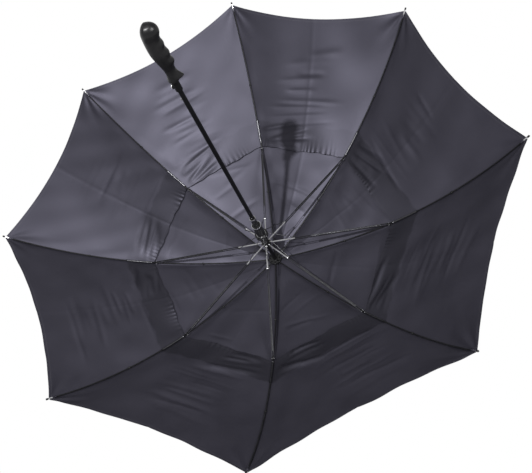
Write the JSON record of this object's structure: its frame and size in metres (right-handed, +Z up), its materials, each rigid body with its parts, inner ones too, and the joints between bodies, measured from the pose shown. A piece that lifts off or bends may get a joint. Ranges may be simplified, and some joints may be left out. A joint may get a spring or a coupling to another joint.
{
  "type": "golf umbrella",
  "caption": "Automatic golf umbrella with a vented double canopy, hinged ribs and stretchers on a sprung runner, and a moulded grip with a push button.",
  "frame": {"origin": "middle of the hand grip, on the axis of the shaft", "axes": "+Z up the shaft to the ferrule, +X along rib 1, the push button faces -Y"},
  "size_m": [1.2742, 1.2742, 0.97],
  "materials": {
    "shaft_black": "satin",
    "grip": "matte",
    "bezel": "polished",
    "black_plastic": "satin",
    "cloth": "satin",
    "spring_steel": "satin",
    "bright_rim": "polished",
    "rib_black": "satin",
    "plated_steel": "satin"
  },
  "bodies": {
    "shaft": {"shaft_tube": "shaft_black", "handle_grip": "grip", "button_bezel": "bezel", "ferrule": "black_plastic", "crown_notch": "black_plastic", "top_canopy": "cloth"},
    "runner": {"runner_hub": "black_plastic", "opening_spring": "spring_steel"},
    "collar": {"spring_collar": "black_plastic", "sleeve_rims": "bright_rim"},
    "button": {"push_button": "bezel"},
    "latch": {"latch_lever": "spring_steel"},
    "rib_1": {"rib_inner_1": "rib_black"},
    "rib_end_1": {"rib_outer_1": "rib_black", "canopy_1": "cloth"},
    "stretcher_1": {"stretcher_1": "plated_steel"},
    "link_1": {"link_1": "plated_steel"},
    "strut_1": {"strut_1": "plated_steel"},
    "rib_2": {"rib_inner_2": "rib_black"},
    "rib_end_2": {"rib_outer_2": "rib_black", "canopy_2": "cloth"},
    "stretcher_2": {"stretcher_2": "plated_steel"},
    "link_2": {"link_2": "plated_steel"},
    "strut_2": {"strut_2": "plated_steel"},
    "rib_3": {"rib_inner_3": "rib_black"},
    "rib_end_3": {"rib_outer_3": "rib_black", "canopy_3": "cloth"},
    "stretcher_3": {"stretcher_3": "plated_steel"},
    "link_3": {"link_3": "plated_steel"},
    "strut_3": {"strut_3": "plated_steel"},
    "rib_4": {"rib_inner_4": "rib_black"},
    "rib_end_4": {"rib_outer_4": "rib_black", "canopy_4": "cloth"},
    "stretcher_4": {"stretcher_4": "plated_steel"},
    "link_4": {"link_4": "plated_steel"},
    "strut_4": {"strut_4": "plated_steel"},
    "rib_5": {"rib_inner_5": "rib_black"},
    "rib_end_5": {"rib_outer_5": "rib_black", "canopy_5": "cloth"},
    "stretcher_5": {"stretcher_5": "plated_steel"},
    "link_5": {"link_5": "plated_steel"},
    "strut_5": {"strut_5": "plated_steel"},
    "rib_6": {"rib_inner_6": "rib_black"},
    "rib_end_6": {"rib_outer_6": "rib_black", "canopy_6": "cloth"},
    "stretcher_6": {"stretcher_6": "plated_steel"},
    "link_6": {"link_6": "plated_steel"},
    "strut_6": {"strut_6": "plated_steel"},
    "rib_7": {"rib_inner_7": "rib_black"},
    "rib_end_7": {"rib_outer_7": "rib_black", "canopy_7": "cloth"},
    "stretcher_7": {"stretcher_7": "plated_steel"},
    "link_7": {"link_7": "plated_steel"},
    "strut_7": {"strut_7": "plated_steel"},
    "rib_8": {"rib_inner_8": "rib_black"},
    "rib_end_8": {"rib_outer_8": "rib_black", "canopy_8": "cloth"},
    "stretcher_8": {"stretcher_8": "plated_steel"},
    "link_8": {"link_8": "plated_steel"},
    "strut_8": {"strut_8": "plated_steel"}
  },
  "joints": [
    {"name": "runner_slide", "type": "slide", "parent": "shaft", "child": "runner", "axis": [0, 0, -1], "range_m": [0, 0.5201], "stiffness_N_per_m": 60, "springref_m": -0.3, "deforming": ["top_canopy", "canopy_1", "canopy_2", "canopy_3", "canopy_4", "canopy_5", "canopy_6", "canopy_7", "canopy_8"]},
    {"name": "collar_slide", "type": "slide", "parent": "runner", "child": "collar", "axis": [0, 0, 1], "range_m": [0, 0.03255], "deforming": ["opening_spring"]},
    {"name": "rib_fold_1", "type": "hinge", "parent": "shaft", "child": "rib_1", "pos_m": [0.014, 0, 0.838], "axis": [0, 1, 0], "range_deg": [0, 72.5]},
    {"name": "rib_flex_1", "type": "hinge", "parent": "rib_1", "child": "rib_end_1", "pos_m": [0.31261, 0, 0.75401], "axis": [0, 1, 0], "range_deg": [-21.57, 0]},
    {"name": "stretcher_hinge_1", "type": "hinge", "parent": "rib_1", "child": "stretcher_1", "pos_m": [0.31261, 0, 0.75401], "axis": [0, 1, 0], "range_deg": [-158.31, 0]},
    {"name": "link_hinge_1", "type": "hinge", "parent": "runner", "child": "link_1", "pos_m": [0.01, 0, 0.7456], "axis": [0, 1, 0], "range_deg": [-85.82, 0]},
    {"name": "strut_hinge_1", "type": "hinge", "parent": "collar", "child": "strut_1", "pos_m": [0.01389, -0.0038, 0.7016], "axis": [0, 1, 0], "range_deg": [-53.74, 0]},
    {"name": "rib_fold_2", "type": "hinge", "parent": "shaft", "child": "rib_2", "pos_m": [0.0099, 0.0099, 0.838], "axis": [-0.7071, 0.7071, 0], "range_deg": [0, 72.5]},
    {"name": "rib_flex_2", "type": "hinge", "parent": "rib_2", "child": "rib_end_2", "pos_m": [0.22105, 0.22105, 0.75401], "axis": [-0.7071, 0.7071, 0], "range_deg": [-21.57, 0]},
    {"name": "stretcher_hinge_2", "type": "hinge", "parent": "rib_2", "child": "stretcher_2", "pos_m": [0.22105, 0.22105, 0.75401], "axis": [-0.7071, 0.7071, 0], "range_deg": [-158.31, 0]},
    {"name": "link_hinge_2", "type": "hinge", "parent": "runner", "child": "link_2", "pos_m": [0.00707, 0.00707, 0.7456], "axis": [-0.7071, 0.7071, 0], "range_deg": [-85.82, 0]},
    {"name": "strut_hinge_2", "type": "hinge", "parent": "collar", "child": "strut_2", "pos_m": [0.01251, 0.00713, 0.7016], "axis": [-0.7071, 0.7071, 0], "range_deg": [-53.74, 0]},
    {"name": "rib_fold_3", "type": "hinge", "parent": "shaft", "child": "rib_3", "pos_m": [0, 0.014, 0.838], "axis": [-1, 0, 0], "range_deg": [0, 72.5]},
    {"name": "rib_flex_3", "type": "hinge", "parent": "rib_3", "child": "rib_end_3", "pos_m": [0, 0.31261, 0.75401], "axis": [-1, 0, 0], "range_deg": [-21.57, 0]},
    {"name": "stretcher_hinge_3", "type": "hinge", "parent": "rib_3", "child": "stretcher_3", "pos_m": [0, 0.31261, 0.75401], "axis": [-1, 0, 0], "range_deg": [-158.31, 0]},
    {"name": "link_hinge_3", "type": "hinge", "parent": "runner", "child": "link_3", "pos_m": [0, 0.01, 0.7456], "axis": [-1, 0, 0], "range_deg": [-85.82, 0]},
    {"name": "strut_hinge_3", "type": "hinge", "parent": "collar", "child": "strut_3", "pos_m": [0.0038, 0.01389, 0.7016], "axis": [-1, 0, 0], "range_deg": [-53.74, 0]},
    {"name": "rib_fold_4", "type": "hinge", "parent": "shaft", "child": "rib_4", "pos_m": [-0.0099, 0.0099, 0.838], "axis": [-0.7071, -0.7071, 0], "range_deg": [0, 72.5]},
    {"name": "rib_flex_4", "type": "hinge", "parent": "rib_4", "child": "rib_end_4", "pos_m": [-0.22105, 0.22105, 0.75401], "axis": [-0.7071, -0.7071, 0], "range_deg": [-21.57, 0]},
    {"name": "stretcher_hinge_4", "type": "hinge", "parent": "rib_4", "child": "stretcher_4", "pos_m": [-0.22105, 0.22105, 0.75401], "axis": [-0.7071, -0.7071, 0], "range_deg": [-158.31, 0]},
    {"name": "link_hinge_4", "type": "hinge", "parent": "runner", "child": "link_4", "pos_m": [-0.00707, 0.00707, 0.7456], "axis": [-0.7071, -0.7071, 0], "range_deg": [-85.82, 0]},
    {"name": "strut_hinge_4", "type": "hinge", "parent": "collar", "child": "strut_4", "pos_m": [-0.00713, 0.01251, 0.7016], "axis": [-0.7071, -0.7071, 0], "range_deg": [-53.74, 0]},
    {"name": "rib_fold_5", "type": "hinge", "parent": "shaft", "child": "rib_5", "pos_m": [-0.014, 0, 0.838], "axis": [0, -1, 0], "range_deg": [0, 72.5]},
    {"name": "rib_flex_5", "type": "hinge", "parent": "rib_5", "child": "rib_end_5", "pos_m": [-0.31261, 0, 0.75401], "axis": [0, -1, 0], "range_deg": [-21.57, 0]},
    {"name": "stretcher_hinge_5", "type": "hinge", "parent": "rib_5", "child": "stretcher_5", "pos_m": [-0.31261, 0, 0.75401], "axis": [0, -1, 0], "range_deg": [-158.31, 0]},
    {"name": "link_hinge_5", "type": "hinge", "parent": "runner", "child": "link_5", "pos_m": [-0.01, 0, 0.7456], "axis": [0, -1, 0], "range_deg": [-85.82, 0]},
    {"name": "strut_hinge_5", "type": "hinge", "parent": "collar", "child": "strut_5", "pos_m": [-0.01389, 0.0038, 0.7016], "axis": [0, -1, 0], "range_deg": [-53.74, 0]},
    {"name": "rib_fold_6", "type": "hinge", "parent": "shaft", "child": "rib_6", "pos_m": [-0.0099, -0.0099, 0.838], "axis": [0.7071, -0.7071, 0], "range_deg": [0, 72.5]},
    {"name": "rib_flex_6", "type": "hinge", "parent": "rib_6", "child": "rib_end_6", "pos_m": [-0.22105, -0.22105, 0.75401], "axis": [0.7071, -0.7071, 0], "range_deg": [-21.57, 0]},
    {"name": "stretcher_hinge_6", "type": "hinge", "parent": "rib_6", "child": "stretcher_6", "pos_m": [-0.22105, -0.22105, 0.75401], "axis": [0.7071, -0.7071, 0], "range_deg": [-158.31, 0]},
    {"name": "link_hinge_6", "type": "hinge", "parent": "runner", "child": "link_6", "pos_m": [-0.00707, -0.00707, 0.7456], "axis": [0.7071, -0.7071, 0], "range_deg": [-85.82, 0]},
    {"name": "strut_hinge_6", "type": "hinge", "parent": "collar", "child": "strut_6", "pos_m": [-0.01251, -0.00713, 0.7016], "axis": [0.7071, -0.7071, 0], "range_deg": [-53.74, 0]},
    {"name": "rib_fold_7", "type": "hinge", "parent": "shaft", "child": "rib_7", "pos_m": [0, -0.014, 0.838], "axis": [1, 0, 0], "range_deg": [0, 72.5]},
    {"name": "rib_flex_7", "type": "hinge", "parent": "rib_7", "child": "rib_end_7", "pos_m": [0, -0.31261, 0.75401], "axis": [1, 0, 0], "range_deg": [-21.57, 0]},
    {"name": "stretcher_hinge_7", "type": "hinge", "parent": "rib_7", "child": "stretcher_7", "pos_m": [0, -0.31261, 0.75401], "axis": [1, 0, 0], "range_deg": [-158.31, 0]},
    {"name": "link_hinge_7", "type": "hinge", "parent": "runner", "child": "link_7", "pos_m": [0, -0.01, 0.7456], "axis": [1, 0, 0], "range_deg": [-85.82, 0]},
    {"name": "strut_hinge_7", "type": "hinge", "parent": "collar", "child": "strut_7", "pos_m": [-0.0038, -0.01389, 0.7016], "axis": [1, 0, 0], "range_deg": [-53.74, 0]},
    {"name": "rib_fold_8", "type": "hinge", "parent": "shaft", "child": "rib_8", "pos_m": [0.0099, -0.0099, 0.838], "axis": [0.7071, 0.7071, 0], "range_deg": [0, 72.5]},
    {"name": "rib_flex_8", "type": "hinge", "parent": "rib_8", "child": "rib_end_8", "pos_m": [0.22105, -0.22105, 0.75401], "axis": [0.7071, 0.7071, 0], "range_deg": [-21.57, 0]},
    {"name": "stretcher_hinge_8", "type": "hinge", "parent": "rib_8", "child": "stretcher_8", "pos_m": [0.22105, -0.22105, 0.75401], "axis": [0.7071, 0.7071, 0], "range_deg": [-158.31, 0]},
    {"name": "link_hinge_8", "type": "hinge", "parent": "runner", "child": "link_8", "pos_m": [0.00707, -0.00707, 0.7456], "axis": [0.7071, 0.7071, 0], "range_deg": [-85.82, 0]},
    {"name": "strut_hinge_8", "type": "hinge", "parent": "collar", "child": "strut_8", "pos_m": [0.00713, -0.01251, 0.7016], "axis": [0.7071, 0.7071, 0], "range_deg": [-53.74, 0]},
    {"name": "button_press", "type": "slide", "parent": "shaft", "child": "button", "axis": [0, 1, 0], "range_m": [0, 0.002], "stiffness_N_per_m": 600, "springref_m": -0.001},
    {"name": "latch_pivot", "type": "hinge", "parent": "shaft", "child": "latch", "pos_m": [0, -0.0019, 0.048], "axis": [-1, 0, 0], "range_deg": [0, 2.5]}
  ],
  "couplings": [
    {"joint": "collar_slide", "follows": "runner_slide", "ratio": 0.062559},
    {"joint": "rib_fold_1", "follows": "runner_slide", "rad_per_m": 2.4326},
    {"joint": "rib_flex_1", "follows": "runner_slide", "rad_per_m": -0.72333},
    {"joint": "stretcher_hinge_1", "follows": "runner_slide", "rad_per_m": -5.312},
    {"joint": "link_hinge_1", "follows": "runner_slide", "rad_per_m": -2.8795},
    {"joint": "strut_hinge_1", "follows": "runner_slide", "rad_per_m": -1.8031},
    {"joint": "rib_fold_2", "follows": "runner_slide", "rad_per_m": 2.4326},
    {"joint": "rib_flex_2", "follows": "runner_slide", "rad_per_m": -0.72333},
    {"joint": "stretcher_hinge_2", "follows": "runner_slide", "rad_per_m": -5.312},
    {"joint": "link_hinge_2", "follows": "runner_slide", "rad_per_m": -2.8795},
    {"joint": "strut_hinge_2", "follows": "runner_slide", "rad_per_m": -1.8031},
    {"joint": "rib_fold_3", "follows": "runner_slide", "rad_per_m": 2.4326},
    {"joint": "rib_flex_3", "follows": "runner_slide", "rad_per_m": -0.72333},
    {"joint": "stretcher_hinge_3", "follows": "runner_slide", "rad_per_m": -5.312},
    {"joint": "link_hinge_3", "follows": "runner_slide", "rad_per_m": -2.8795},
    {"joint": "strut_hinge_3", "follows": "runner_slide", "rad_per_m": -1.8031},
    {"joint": "rib_fold_4", "follows": "runner_slide", "rad_per_m": 2.4326},
    {"joint": "rib_flex_4", "follows": "runner_slide", "rad_per_m": -0.72333},
    {"joint": "stretcher_hinge_4", "follows": "runner_slide", "rad_per_m": -5.312},
    {"joint": "link_hinge_4", "follows": "runner_slide", "rad_per_m": -2.8795},
    {"joint": "strut_hinge_4", "follows": "runner_slide", "rad_per_m": -1.8031},
    {"joint": "rib_fold_5", "follows": "runner_slide", "rad_per_m": 2.4326},
    {"joint": "rib_flex_5", "follows": "runner_slide", "rad_per_m": -0.72333},
    {"joint": "stretcher_hinge_5", "follows": "runner_slide", "rad_per_m": -5.312},
    {"joint": "link_hinge_5", "follows": "runner_slide", "rad_per_m": -2.8795},
    {"joint": "strut_hinge_5", "follows": "runner_slide", "rad_per_m": -1.8031},
    {"joint": "rib_fold_6", "follows": "runner_slide", "rad_per_m": 2.4326},
    {"joint": "rib_flex_6", "follows": "runner_slide", "rad_per_m": -0.72333},
    {"joint": "stretcher_hinge_6", "follows": "runner_slide", "rad_per_m": -5.312},
    {"joint": "link_hinge_6", "follows": "runner_slide", "rad_per_m": -2.8795},
    {"joint": "strut_hinge_6", "follows": "runner_slide", "rad_per_m": -1.8031},
    {"joint": "rib_fold_7", "follows": "runner_slide", "rad_per_m": 2.4326},
    {"joint": "rib_flex_7", "follows": "runner_slide", "rad_per_m": -0.72333},
    {"joint": "stretcher_hinge_7", "follows": "runner_slide", "rad_per_m": -5.312},
    {"joint": "link_hinge_7", "follows": "runner_slide", "rad_per_m": -2.8795},
    {"joint": "strut_hinge_7", "follows": "runner_slide", "rad_per_m": -1.8031},
    {"joint": "rib_fold_8", "follows": "runner_slide", "rad_per_m": 2.4326},
    {"joint": "rib_flex_8", "follows": "runner_slide", "rad_per_m": -0.72333},
    {"joint": "stretcher_hinge_8", "follows": "runner_slide", "rad_per_m": -5.312},
    {"joint": "link_hinge_8", "follows": "runner_slide", "rad_per_m": -2.8795},
    {"joint": "strut_hinge_8", "follows": "runner_slide", "rad_per_m": -1.8031},
    {"joint": "latch_pivot", "follows": "button_press", "rad_per_m": 21.74}
  ]
}
